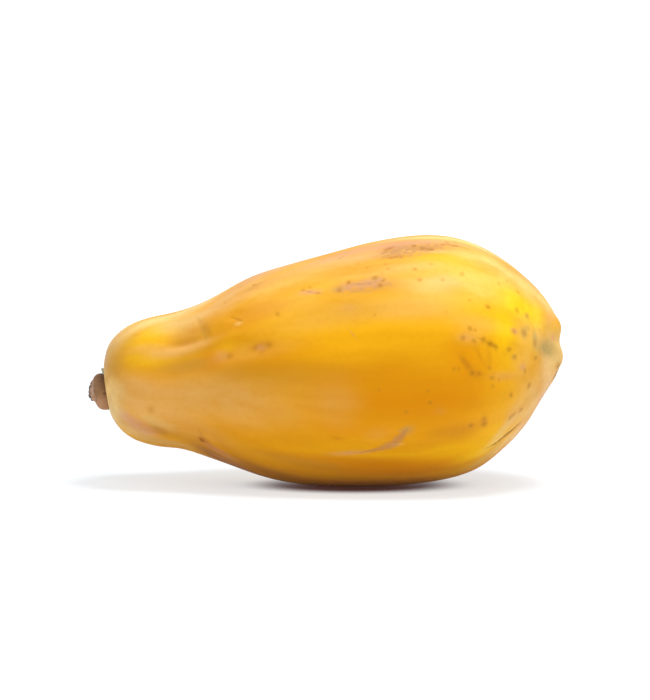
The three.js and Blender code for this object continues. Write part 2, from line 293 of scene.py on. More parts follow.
# their patches: across, down, half length and half width in mm, strength, and any tilt in degrees
patches = {"yellow": [
    (150, 338, 11, 8, 0.95, 10), (148, 360, 15, 3, 0.95, -2), (124, 344, 5, 6, 0.5),
    (228, 322, 9, 3, 0.5, 10), (300, 300, 30, 10, 0.6, 14), (345, 318, 34, 9, 0.45, 8),
    (430, 306, 34, 14, 0.6, 2), (480, 286, 28, 14, 0.7, -14), (516, 322, 17, 20, 1),
    (505, 400, 14, 15, 0.8, 10), (489, 428, 8, 8, 0.6), (548, 330, 6, 7, 0.5), (460, 449, 30, 5, 0.9, 4),
    (372, 456, 20, 2, 0.5), (352, 446, 20, 4, 0.2, 8), (428, 257, 20, 5, 0.5), (551, 346, 8, 12, 0.3),
    # the patches on the next line lighten the rind low on the right: painted light bounced up from the floor
    (478, 455, 14, 5, 0.8, 14), (452, 456, 22, 4, 0.35), (480, 460, 16, 6, 0.7, 26),
    (228, 346, 3.5, 2.5, 0.5), (130, 434, 8, 2, 0.6, -24),
], "lemon": [
    (518, 306, 11, 6, 1, -14), (505, 332, 5, 7, 0.75), (538, 318, 5, 6, 1), (440, 258, 18, 4, 0.2, -4),
    # painted light bounced up from the floor, low on the right
    (474, 455, 12, 4, 0.7, 14),
], "orange": [
    (425, 398, 36, 12, 0.8), (240, 318, 13, 6, 0.7, 10), (265, 362, 26, 5, 0.6, 4), (350, 462, 36, 4, 0.6),
    (352, 374, 30, 5, 0.6, 3), (470, 362, 11, 7, 0.7, -30), (208, 363, 7, 4, 0.8), (455, 396, 14, 8, 0.5),
    (444, 396, 6, 4, 0.4), (350, 428, 16, 5, 0.5), (390, 470, 30, 5, 0.7, 2), (150, 384, 16, 4, 0.3),
    (250, 334, 12, 4, 0.35, 8), (240, 428, 18, 8, 0.2), (209, 356, 3, 6, 0.5), (440, 316, 14, 4, 0.25),
    (258, 313, 16, 5, 0.6, 8), (240, 323, 8, 3, 0.3, 8), (362, 312, 12, 5, 0.25), (272, 350, 20, 4, 0.25, 4),
    (275, 400, 50, 18, 0.18, 2), (476, 412, 22, 12, 0.25), (398, 433, 16, 4, 0.3), (438, 469, 24, 3, 0.3),
], "ochre": [
    (114, 362, 6, 9, 0.65), (182, 366, 13, 3.4, 0.85, 4), (186, 339, 7, 3, 0.6, 8),
    (280, 372, 30, 5, 0.35, 2), (207, 331, 3, 6, 0.35), (180, 436, 12, 3, 0.4, -10),
    (300, 462, 20, 4, 0.5, -6), (186, 344, 9, 1.6, 0.4, 6), (225, 383, 44, 7, 0.35, 2),
    (190, 337, 18, 5, 0.3, 6), (128, 336, 6, 6, 0.3), (188, 350, 14, 3.6, 0.5, 6), (346, 314, 26, 6, 0.3, 4),
    (116, 358, 8, 12, 0.3), (110, 346, 5, 6, 0.3),
], "tan": [
    (130, 392, 12, 8, 0.6), (160, 408, 20, 9, 0.45, -6), (205, 394, 26, 8, 0.45, 2),
    (285, 398, 26, 8, 0.12, 2), (190, 428, 18, 6, 0.45, -10), (548, 384, 7, 16, 0.9, -10),
    # the ones along the top edge, about 241 to 268 down, are partly the rind's tan and partly a painted
    # reflection of the bright tent at a grazing angle
    (545, 345, 7, 12, 0.3), (514, 437, 12, 4, 0.9, 38), (290, 262, 36, 9, 0.85, 24),
    (385, 250, 28, 7, 0.85, 6), (430, 241, 26, 3, 0.6), (215, 308, 16, 5, 0.7, 28), (112, 336, 5, 8, 0.5),
    (520, 268, 14, 5, 0.6, -34), (552, 312, 4, 8, 0.35, -20), (338, 404, 9, 10, 0.2), (514, 415, 5, 6, 0.5),
    (256, 350, 20, 4, 0.2, 4), (350, 308, 7, 4, 0.15), (470, 337, 6, 3, 0.3), (250, 414, 22, 8, 0.3, 2),
    (312, 284, 30, 9, 0.25, 16), (330, 302, 20, 6, 0.25, 8), (180, 350, 15, 2.6, 0.55, 6),
    (412, 306, 20, 6, 0.35), (418, 284, 16, 5, 0.5), (446, 282, 7, 5, 0.5), (392, 268, 22, 5, 0.5),
    (378, 435, 6, 4, 0.12, 20), (254, 290, 18, 4, 0.5, 22), (308, 325, 24, 4, 0.14, 2),
    (525, 326, 5, 5, 0.3), (524, 358, 6, 14, 0.3), (148, 349, 9, 2.6, 0.4, -4), (480, 324, 12, 4, 0.25),
], "pale": [
    # painted highlights and grazing reflections of the lights, put into the rind's colour
    (150, 322, 12, 3.6, 0.55, 14), (192, 309, 16, 5, 0.45, 18), (483, 283, 12, 8, 0.3),
    (106, 398, 3.4, 11, 1, -8), (113, 402, 3, 9, 0.35, -8), (458, 288, 20, 7, 0.15),
    (482, 262, 18, 6, 0.4, -16), (300, 272, 22, 7, 0.35, 24), (508, 272, 14, 5, 0.5, -20),
    (530, 288, 12, 7, 0.35), (443, 264, 16, 5, 0.12), (546, 304, 8, 4, 0.4), (548, 372, 4, 8, 0.35),
    (515, 434, 7, 1.6, 0.7, 38), (398, 268, 18, 5, 0.1, 4), (238, 323.5, 1.8, 0.9, 0.35),
    (430, 286, 8, 3, 0.35), (395, 445, 3, 0.8, 0.5, 16), (442, 238, 26, 3, 0.6), (372, 283, 5, 1, 0.5, 6),
    (435, 251.5, 5, 1, 0.6), (478, 246, 14, 4, 0.5, -14), (502, 446, 9, 3, 0.6, 32),
], "sallow": [
    (112, 408, 5, 12, 0.75, -10), (124, 422, 12, 6, 0.6, -40), (158, 424, 8, 3, 0.5, -20),
    (199, 305, 11, 5, 0.7, 28), (180, 323, 11, 5, 0.55, 8), (557, 350, 8, 9, 0.6),
    (530, 404, 8, 12, 0.4, -10), (538, 338, 6, 5, 0.3), (140, 430, 8, 3, 0.3, -24),
    (500, 434, 11, 3, 0.4, 38), (486, 458, 10, 4, 0.4, 30), (155, 320, 16, 4, 0.3, 14),
    (164, 442, 14, 3, 0.4, -8),
], "rose": [
    # the first three, along the top edge, are partly the rind's pinkish colour and partly a painted
    # reflection of the bright tent at a grazing angle
    (262, 258, 16, 5, 0.5, 26), (350, 252, 22, 5, 0.6, 12), (400, 244, 16, 3, 0.7, 2),
    (138, 426, 8.5, 4.6, 0.7, -24), (127, 418, 4, 3.4, 0.4, -30), (221, 356, 3, 2.4, 0.3),
    (261.5, 347.5, 2.4, 1.6, 0.4), (220, 452, 9, 2, 0.6, -26), (240, 467, 12, 3, 0.5, -20),
    (504, 376, 7, 2, 0.2, -4), (523, 367, 1.6, 1.4, 0.6), (515, 331, 2, 1.1, 0.8, 4),
    (553, 338, 1.4, 1.6, 0.7), (541, 398, 4, 5, 0.55, -30), (371, 283.5, 6, 2.6, 0.7, 6),
    (350, 286, 6, 2.4, 0.5), (440, 411, 2.4, 1.6, 0.1), (349, 308, 2.4, 1.8, 0.15),
    (310, 292, 5, 1.4, 0.6, -6), (350, 453, 9, 1.2, 0.5, 10), (552, 317, 2, 5, 0.2, -20),
    (466, 337, 3, 1.2, 0.25), (106, 356, 2, 7, 0.6),
], "plum": [
    # painted shade along the bottom edge, where the rind turns under towards the floor
    (300, 480, 26, 8, 0.2, -4), (375, 484, 28, 8, 0.5, 2), (250, 472, 20, 6, 0.6, -14),
    (228, 462, 14, 5.5, 0.7, -24), (212, 453, 8, 4, 0.6, -26), (264, 470, 20, 5, 0.4, -12),
], "olive": [
    (546.5, 348, 8, 3.6, 0.85), (535, 340, 2, 3.6, 0.6), (524, 332.5, 2, 2.4, 0.7), (550, 338, 6, 8, 0.25),
    (376, 278.5, 2.6, 1.4, 0.6, 6), (339, 289.5, 2.4, 1.6, 0.75), (157, 429, 5, 2.4, 0.45, -24),
    (527, 316, 1.4, 1.2, 0.5), (558, 367, 0.9, 3, 0.7), (407, 430, 2.2, 1.6, 0.55, 40),
    (528, 328, 1.2, 1.2, 0.5), (514, 357, 1.2, 1.2, 0.45), (500, 440, 6, 0.7, 0.6, 34),
    (358, 284, 3.5, 0.9, 0.4), (521, 410, 1.2, 1.2, 0.4),
], "bruise": [
    (186, 342, 6.5, 1.8, 0.35, 8), (455, 431, 12, 4.5, 0.4), (262, 346.5, 5.6, 2, 0.6, 6),
    (159, 431, 4.5, 2.4, 0.5, -24), (506, 377, 6, 1.4, 0.15, -4), (204, 440, 3, 1.6, 0.6, -40),
    (467, 365, 5, 1.4, 0.7, -52), (389, 249, 3.2, 2.2, 0.5, 16), (425, 248.5, 5, 2, 0.6),
    (424, 474, 36, 4, 0.2), (396, 256.5, 4.5, 1.4, 0.6), (478, 374, 2.4, 1.4, 0.5),
    (480, 356, 5, 0.9, 0.3, -62), (230, 356, 2, 1.4, 0.5), (215, 330, 5, 6, 0.2), (489, 358, 1.5, 5, 0.3, 4),
    (484, 421, 1.6, 3, 0.5), (337, 438, 2.6, 0.8, 0.5),
], "mauve": [
    (401, 250, 8, 7.5, 1, 2), (360, 286, 11, 3, 0.5, 2), (428, 246.5, 9, 4, 0.7, -2),
    (146, 429, 4, 1.8, 0.6, -26), (254, 287, 5, 1.4, 0.45, 22), (401, 434, 3, 1.6, 0.5, 60),
    (450, 245, 6, 1.3, 0.5, -6), (408, 251, 15, 5, 0.65), (372, 287, 11, 2.6, 0.45),
    (408, 431, 3.4, 2, 0.3, 50),
]}

# marks at both ends and underneath: tone, place in mm, half length, half width, strength
endMarks = {
    "blossomRing": ("tan", (100, 0, 50), 9, 8, 0.25), "blossomScab": ("scab", (100, 0, 50), 4.0, 3.4, 0.95),
    "shoulderRing": ("sallow", (-97, 0, 46), 15, 14, 0.45), "restScuff": ("tan", (13, 0, 0), 16, 9, 0.5),
}

# patches on the side turned away are drawn by lot: half length and half width in mm, and how often; the pale
# ones are painted highlights at random places
backPatches = {
    "yellow": (26, 12, 6), "lemon": (11, 6, 2), "orange": (28, 10, 5), "ochre": (12, 5, 3), "tan": (22, 8, 5),
    "pale": (12, 3, 2), "rose": (8, 2.4, 4), "plum": (14, 3, 1), "olive": (3, 2, 3), "bruise": (7, 2.5, 5),
    "mauve": (8, 1.8, 3), "sallow": (16, 5, 3),
}

# scars, cuts and creases as lines: points in the frame, the half widths in mm at even steps along it,
# relief in mm, how much of the line shows, how broken it is, and its colour
strokes = {
    "lowScar": ([(356, 453), (368, 451), (382, 448), (394, 443.5), (400, 437.5), (406, 430.5)],
        [0.1, 0.4, 1, 1.9, 2.4, 1.8, 0.6], 0.1, 0.65, 0.3, "aa7452"),
    "slash": ([(487, 448), (500, 440), (507, 434), (512, 430), (520, 423)],
        [0.2, 0.5, 0.4, 0.75, 0.6, 0.2], -0.28, 0.9, 0.8, "6e4c12"),
    "slashEdge": ([(493, 443), (500, 438), (507, 432.5), (515, 425)],
        [0.3, 0.5, 0.5, 0.2], 0.12, 0.6, 0.5, "f6dc9a"),
    "browScratch": ([(301, 290), (311, 292), (322, 294)], [0.2, 0.5, 0.6, 0.3], 0.04, 0.6, 0.8, "b4805c"),
    "browScar": ([(347, 282), (354, 284), (366, 284), (376, 282), (384, 280)],
        [0.3, 0.5, 0.8, 0.9, 0.5], -0.06, 0.4, 0.9, "96704a"),
    "crownScratch": ([(441, 244), (452, 245), (462, 247), (471, 251)],
        [0.4, 0.5, 0.3, 0.15], -0.1, 0.6, 0.8, "7e5a30"),
    "crownDark": ([(384, 251), (389, 249), (395, 246)], [0.5, 1.6, 1.2, 0.4], 0, 0.6, 0.5, "a5663e"),
    "crownCrack": ([(416, 246), (424, 248), (434, 250)], [0.4, 0.8, 0.5], -0.08, 0.6, 0.9, "7e5a30"),
    "hollowCrack": ([(198, 318), (201, 324), (204, 332), (207, 339)],
        [0.4, 1.2, 1.3, 0.9, 0.5], 0, 0.3, 0.2, "a87a34"),
    "browNick": ([(335, 309), (340, 310.5)], [0.1, 0.35, 0.1], -0.05, 0.9, 0, "74480e"),
    "rosyNick": ([(349, 330), (353, 334), (356, 338)], [0.15, 0.4, 0.15], -0.08, 0.5, 0.3, "c07c4c"),
    "neckNotch": ([(231, 317), (236, 318.5), (242, 321)], [0.3, 0.6, 0.6], 0, 0.5, 0.5, "a0640c"),
    "cheekChain": ([(479, 338), (484, 340), (490, 344), (498, 347)],
        [0.3, 0.6, 0.4, 0.8, 0.7, 0.3], -0.05, 0.4, 0.4, "8c5a08"),
    "lowNick": ([(489, 457), (493, 456)], [0.2, 0.4, 0.2], -0.05, 0.8, 0, "8a5428"),
    "crownNick": ([(338, 259), (342, 257), (345, 256)], [0.2, 0.35, 0.15], -0.05, 0.7, 0.2, "80582c"),
    "neckSpot": ([(200, 438), (202, 440), (203.5, 442)], [1, 1.3, 1], -0.1, 0.9, 0.1, "8a4a1c"),
    "neckCrease": ([(199, 430), (206, 441), (214, 448), (226, 455)],
        [0.3, 0.8, 1, 0.5], 0, 0.35, 0.3, "b0683c"),
}

# small dark flecks: across, down, radius in mm, darkness
flecks = {"crown": [
    (388, 269, 0.45, 0.4), (415, 269, 0.65, 0.6), (419.5, 280, 0.65, 0.7), (431, 264, 0.5, 0.35),
    (443, 280, 0.5, 0.4), (462, 274, 0.65, 0.55), (499, 284, 0.5, 0.4), (507, 281, 0.5, 0.3),
    (367, 267.5, 0.5, 0.4), (358, 264, 0.5, 0.3), (385.5, 264.5, 0.5, 0.3), (453, 246, 0.6, 0.8),
    (456.5, 246, 0.6, 0.8), (447, 242.5, 0.7, 0.6), (455.5, 242.5, 0.6, 0.5), (443, 245, 0.7, 0.6),
    (390, 248.5, 0.7, 0.6), (386, 250.5, 0.6, 0.6), (414, 246, 0.75, 0.8), (422, 249, 0.7, 0.6),
    (431, 250, 0.9, 0.75), (391, 258, 0.5, 0.6), (396, 257, 0.55, 0.5), (401, 257.5, 0.55, 0.6),
], "brow": [
    (348.5, 282.5, 0.7, 0.8), (375, 278, 0.85, 0.7), (380, 285, 0.8, 0.7), (383.5, 280.5, 0.6, 0.6),
    (339.5, 290, 0.8, 0.6), (303, 290, 0.5, 0.5), (310, 287.5, 0.45, 0.4), (318, 293, 0.5, 0.4),
    (254, 285, 0.55, 0.6), (225, 303, 0.5, 0.3), (277.5, 314, 0.7, 0.5), (375, 315, 0.4, 0.35),
    (446, 312, 0.4, 0.25), (470, 300, 0.4, 0.3),
], "tip": [
    (518, 292, 0.5, 0.4), (488, 307, 0.75, 0.75), (517, 310.5, 0.9, 0.75), (527, 315.5, 0.9, 0.5),
    (540, 330, 0.5, 0.35), (514, 331.5, 0.9, 0.5), (524, 333, 0.9, 0.4), (535, 343, 0.8, 0.4),
    (509, 349.5, 0.8, 0.8), (514.5, 357, 0.7, 0.5), (535.5, 358, 0.75, 0.65), (558, 366, 0.8, 0.6),
    (525, 371, 0.7, 0.5), (529, 385.5, 0.85, 0.75),
], "cheek": [
    (470, 328.5, 0.75, 0.7), (475, 330, 0.5, 0.5), (463, 338, 0.8, 0.65), (474, 341, 0.7, 0.6),
    (483.5, 340, 0.8, 0.7), (490.5, 344, 1, 0.9), (495.5, 347, 0.8, 0.7), (489.5, 368, 0.55, 0.5),
    (472, 373, 0.9, 0.7), (479, 373.5, 0.6, 0.5), (492, 378, 0.7, 0.5), (499, 380, 0.5, 0.35),
    (493, 386, 0.6, 0.4), (459, 368.5, 0.5, 0.45), (454, 369, 0.5, 0.45), (511, 395, 0.75, 0.7),
    (510.5, 417.5, 0.85, 0.75), (514, 414, 0.7, 0.6), (520.5, 410, 0.7, 0.5), (471, 425.5, 0.95, 0.8),
    (484.4, 424, 1, 0.65), (483.5, 419, 0.7, 0.4), (511, 440, 0.5, 0.6), (495, 443.5, 0.5, 0.5),
    (500, 439, 0.55, 0.6), (507, 434.5, 0.6, 0.8),
], "belly": [
    (430, 402.5, 0.6, 0.7), (428, 391, 0.5, 0.4), (406, 412, 0.6, 0.5), (379, 390, 0.5, 0.35),
], "neck": [
    (229.5, 356.5, 0.6, 0.3), (202, 440, 0.8, 0.5), (151, 410, 1.1, 0.35), (255.5, 348, 0.8, 0.4),
    (269, 345, 0.9, 0.4), (262, 352, 0.7, 0.3), (187, 312, 0.5, 0.25),
]}

farAway = 1000.0    # the distance written where no mark is near


# a welded copy of a CAD solid that can be shaped
def copyOfNode(nodeName, pieceName):
    selectOnly(frame["nodes"][nodeName])
    bpy.ops.object.duplicate()
    piece = bpy.context.object
    bpy.ops.object.parent_clear(type="CLEAR_KEEP_TRANSFORM")
    for key in list(piece.keys()):
        del piece[key]
    piece.name = piece.data.name = pieceName
    piece.data.materials.clear()
    bpy.ops.object.mode_set(mode="EDIT")
    bpy.ops.mesh.select_all(action="SELECT")
    bpy.ops.mesh.remove_doubles(threshold=rind["weld"] * mm)
    bpy.ops.mesh.tris_convert_to_quads()
    bpy.ops.mesh.normals_make_consistent(inside=False)
    bpy.ops.object.mode_set(mode="OBJECT")
    return piece


def applySubdivision(piece, levels):
    selectOnly(piece)
    smoother = piece.modifiers.new("smoother", "SUBSURF")
    smoother.levels = smoother.render_levels = levels
    bpy.ops.object.modifier_apply(modifier=smoother.name)


# a mesh's points and normals in mm, and its new points back again
def readPoints(piece):
    flat = np.empty(len(piece.data.vertices) * 3)
    piece.data.vertices.foreach_get("co", flat)
    turned = np.empty(len(flat), np.float32)
    piece.data.vertex_normals.foreach_get("vector", turned)
    return flat.reshape(-1, 3) / mm, turned.reshape(-1, 3).astype(float)


def writePoints(piece, points):
    piece.data.vertices.foreach_set("co", (points * mm).ravel())
    piece.data.update()


def writeAttribute(piece, name, kind, values):
    attribute = piece.data.attributes.new(name, kind, "POINT")
    field = {"FLOAT": "value", "FLOAT_VECTOR": "vector", "FLOAT_COLOR": "color"}[kind]
    attribute.data.foreach_set(field, np.ascontiguousarray(values, np.float32).ravel())


# where the ray through a place in the frame meets a piece, in mm, and the way its face looks there
def onPiece(piece, across, down):
    start, way = rayThrough(across, down)
    hit, place, normal, face = piece.ray_cast(start, way)
    if not hit:   # past the outline: the nearest point of the piece
        nearest = start + way * (Vector((0, 0, camera["aimHeight"])) - start).dot(way)
        hit, place, normal, face = piece.closest_point_on_mesh(nearest)
    return np.array(place) / mm, np.array(normal)


# how strongly a soft oval patch covers each point: 1 in its middle, 0 past its edge
def ovalCover(points, centre, normal, halfLong, halfWide, tilt=0):
    lengthwise = np.array((1.0, 0, 0)) - normal * normal[0]
    lengthwise /= np.linalg.norm(lengthwise)
    sideways = np.cross(normal, lengthwise)
    turn = math.radians(tilt)
    along = math.cos(turn) * lengthwise + math.sin(turn) * sideways
    beside = math.cos(turn) * sideways - math.sin(turn) * lengthwise
    offset = points - centre
    depth = halfLong + halfWide
    reach = (offset @ along / halfLong) ** 2 + (offset @ beside / halfWide) ** 2
    reach += (offset @ normal / depth) ** 2
    fall, sharpness = rind["patchFall"]
    return np.exp(-fall * reach ** sharpness)


# a smooth path on a piece's skin through places in the frame, in mm
def pathOnPiece(piece, line, step=0.5):
    corners = np.array([onPiece(piece, *place)[0] for place in line])
    padded = np.vstack([2 * corners[0] - corners[1], corners, 2 * corners[-1] - corners[-2]])
    path = []
    for first, start, end, last in zip(padded, padded[1:], padded[2:], padded[3:]):
        count = max(2, int(np.linalg.norm(end - start) / step))
        for share in np.arange(count) / count:
            bend = (2 * first - 5 * start + 4 * end - last) + (3 * start - first - 3 * end + last) * share
            path.append(start + 0.5 * share * (end - first + bend * share))
    path.append(corners[-1])
    return np.array(path)


# for each point, how far along a path it lies (0 to 1), and how far beside it, with a sign, and away in mm
def alongLine(points, normals, path, reach=8.0):
    share = np.zeros(len(points))
    beside, away = np.full((2, len(points)), farAway)
    chosen = np.flatnonzero(np.all((points > path.min(0) - reach) & (points < path.max(0) + reach), axis=1))
    steps = np.diff(path, axis=0)
    lengths = np.linalg.norm(steps, axis=1)
    steps /= lengths[:, None]
    passed = np.cumsum(lengths) - lengths
    offset = points[chosen, None] - path[:-1]
    ahead = (offset * steps).sum(2)
    gap = np.linalg.norm(offset - np.clip(ahead, 0, lengths)[..., None] * steps, axis=2)
    rows, best = np.arange(len(chosen)), gap.argmin(1)
    lowest, highest = np.zeros(len(steps)), lengths.copy()
    lowest[0], highest[-1] = -farAway, farAway      # the ends run on
    share[chosen] = (passed + np.clip(ahead, lowest, highest))[rows, best] / lengths.sum()
    beside[chosen] = (np.cross(steps[best], offset[rows, best]) * normals[chosen]).sum(1)
    away[chosen] = gap[rows, best]
    return share, beside, away


# deals marks into layers, so that two marks of one layer keep clear of each other, and writes each layer as
# two attributes: where the marks are, and their looks; paint fills these in for one mark
def paintLayers(piece, name, marks, centres, radii, paint):
    layers = [[] for layer in range(rind[name + "Layers"])]
    for number, centre in enumerate(centres):
        for layer in layers:
            if all(np.linalg.norm(centre - centres[other]) > radii[number] + radii[other] for other in layer):
                layer.append(number)
                break
    for number, layer in enumerate(layers):
        places = np.tile((farAway, 0.0, 0.0), (len(piece.data.vertices), 1))
        looks = np.zeros((len(places), 4))
        for mark in layer:
            paint(places, looks, *marks[mark])
        writeAttribute(piece, f"{name}At{number}", "FLOAT_VECTOR", places)
        writeAttribute(piece, f"{name}Look{number}", "FLOAT_COLOR", looks)


# random places on the side that the camera doesn't see, as a point and a normal: fewer underneath, and either
# more towards the tip or none at the ends
def hiddenPlaces(points, normals, count, draw, towardsTip):
    share, steepest = rind["underneath"]
    under = share * np.clip(-normals[:, 2] - steepest, 0, 1) * (normals[:, 1] > 0)
    along = (points[:, 0] - points[:, 0].min()) / np.ptp(points[:, 0])
    weight = np.clip(normals[:, 1], 0, 1) + under
    weight *= rind["towardsStalk"] + along ** 2 if towardsTip else np.abs(normals[:, 0]) < rind["endsFrom"]
    chosen = draw.choice(len(points), count, p=weight / weight.sum())
    return [(points[number], normals[number]) for number in chosen]


# soft random waves of about one size, from -1 to 1, drawn out by the stretch
def randomWaves(points, size, draw, stretch=(1, 1, 1), count=7, turns=4, peak=1.4):
    phases = draw.uniform(0, 2 * math.pi, (count, 1))
    ways = draw.normal(size=(count, 3)) / stretch
    return np.sin(ways @ points.T * turns / size + phases).sum(0) * (2 / count) ** 0.5 / peak


def shapeRind(fruit, draw):
    points, normals = readPoints(fruit)
    height = np.zeros(len(points))
    for size, tall in rind["swells"]:
        height += tall * randomWaves(points, size, draw, (2, 1, 1))
    for across, down, halfLong, halfWide, tall, *tilt in dents.values():
        height += tall * ovalCover(points, *onPiece(fruit, across, down), halfLong, halfWide, *tilt)
    cuts = [(line, max(*halves, rind["finest"]), relief) for line, halves, relief, *look in strokes.values()]
    for line, half, tall in [*folds.values(), *cuts]:
        share, beside, away = alongLine(points, normals, pathOnPiece(fruit, line))
        fade = np.clip(np.minimum(share, 1 - share) * rind["foldEnds"], 0, 1) ** 0.5
        height += tall * np.exp(-(beside / half) ** 2) * fade * (away < rind["strokeReach"])
    free = np.clip((points[:, 2] - rind["flatUpTo"]) / rind["flatFade"], 0, 1)
    writePoints(fruit, points + normals * (height * free)[:, None])


# each tone is written as an attribute: how strongly it covers each point
def paintTones(fruit, draw):
    points, normals = readPoints(fruit)
    covers = {tone: np.zeros(len(points)) for tone in tones}
    marks = [(tone, *onPiece(fruit, across, down), *shape)
             for tone, ovals in patches.items() for across, down, *shape in ovals]
    for tone, place, *shape in endMarks.values():
        found, place, normal, face = fruit.closest_point_on_mesh(Vector(place) * mm)
        marks.append((tone, np.array(place) / mm, np.array(normal), *shape))
    lot = rind["backMarks"]
    chances = np.array([often for halfLong, halfWide, often in backPatches.values()])
    for place, normal in hiddenPlaces(points, normals, lot["count"], draw, False):
        tone = draw.choice(list(backPatches), p=chances / chances.sum())
        halfLong, halfWide = np.array(backPatches[tone][:2]) * draw.uniform(*lot["size"])
        tilt = draw.uniform(*lot["tilt"])
        marks.append((tone, place, normal, halfLong, halfWide, draw.uniform(*lot["strength"]), tilt))
    for tone, centre, normal, halfLong, halfWide, strength, *tilt in marks:
        cover = strength * ovalCover(points, centre, normal, halfLong, halfWide, *tilt)
        covers[tone] = 1 - (1 - covers[tone]) * (1 - cover)
    for tone, cover in covers.items():
        writeAttribute(fruit, tone, "FLOAT", cover)


# flecks are written as the way from each one's middle, counted in its radius, so that their edges stay crisp
# between the mesh's points, and as each one's colour and darkness
def paintFlecks(fruit, draw):
    points, normals = readPoints(fruit)
    marks = [(onPiece(fruit, across, down)[0], *look)
             for region in flecks.values() for across, down, *look in region]
    lot = rind["backFlecks"]
    for place, normal in hiddenPlaces(points, normals, lot["count"], draw, True):
        marks.append((place, draw.uniform(*lot["radius"]), draw.uniform(*lot["dark"])))
    brown, olive = [np.array(linearColour(rindLook[name])) for name in ("fleck", "oliveFleck")]
    reach = rind["fleckReach"]

    def paint(places, looks, centre, radius, dark):
        offset = points - centre
        near = np.linalg.norm(offset, axis=1) < reach
        drawnOut = draw.normal(size=3)
        drawnOut /= np.linalg.norm(drawnOut)
        offset -= rind["fleckSquash"] * np.outer(offset @ drawnOut, drawnOut)
        places[near] = offset[near] / radius
        looks[near] = brown + draw.uniform() * (olive - brown)
        looks[near, 3] = rindLook["fleckStrength"] * dark

    paintLayers(fruit, "fleck", marks, [mark[0] for mark in marks], [reach] * len(marks), paint)


# strokes are written as the distance beside the line, counted in its half width there, how much of it shows
# and how whole it is, and as its colour
def paintStrokes(fruit):
    points, normals = readPoints(fruit)
    marks = [(pathOnPiece(fruit, line), *look) for line, *look in strokes.values()]
    reach = rind["strokeReach"]

    def paint(places, looks, path, halves, relief, cover, broken, colour):
        share, beside, away = alongLine(points, normals, path)
        half = np.interp(share, np.linspace(0, 1, len(halves)), halves)
        ended = np.clip(rind["strokeEnds"] * (np.abs(share - 0.5) - 0.5), 0, 1)      # 1 beyond the ends
        near = away < reach
        places[near, 0] = (beside / half)[near]
        places[near, 1] = (cover * (1 - ended))[near]
        places[near, 2] = 1 - broken
        looks[near] = linearColour(colour)

    paths = [mark[0] for mark in marks]
    radii = [np.linalg.norm(path[-1] - path[0]) / 2 + reach for path in paths]
    paintLayers(fruit, "stroke", marks, [path.mean(0) for path in paths], radii, paint)


rindLook = {
    "ground": "d99806", "deep": "c27c02", "shine": "ebaa14", "tint": "ffe070",
    "fleck": "753c00", "oliveFleck": "845a08", "halo": "cb8420",
    "noises": {
        "cloud": (26, 0.35, 3, 0.5), "band": (9, 0.10, 2, 0.5), "streak": (2.4, 0.06, 2, 0.5),
        "mottle": (2.4, 1, 3, 0.5), "fray": (1.3, 1, 2, 0.5),
        "pore": (0.9, 0.4, 2, 0.5)},      # real pores are 0.2 mm, too fine to show
    # over the ground: the noise, between which of its values it grows, how strong it gets, and the colour
    "clouding": [("cloud", (0.45, 0.75), 0.45, "deep"), ("band", (0.50, 0.75), 0.45, "shine")],
    "shading": [("band", (0.52, 0.30), 0.22, "deep"), ("streak", (0.52, 0.30), 0.06, "deep"),
                ("mottle", (0.52, 0.30), 0.12, "deep")],
    # edges in radii or half widths; gaps and roughness from one value of a noise to another
    "fleckEdge": (2.1, 0), "fleckStrength": 0.56, "haloEdge": (3, 1, 0, 0.22), "strokeEdge": (1.45, 0.35),
    "fraying": 1.1, "patching": (0.3, 0.7), "gaps": (0.2, -0.15), "roughness": (0.3, 0.7, 0.50, 0.63),
    "specular": 0.50, "ior": 1.42, "bloom": 0.12, "bloomRoughness": 0.25, "bumpHeight": 0.12,
    "bumpStrength": 0.6,
    "relief": {"streak": 0.35, "pore": 0.35, "stroke": 0.4, "fleck": -0.3},     # shares of the bump height
}


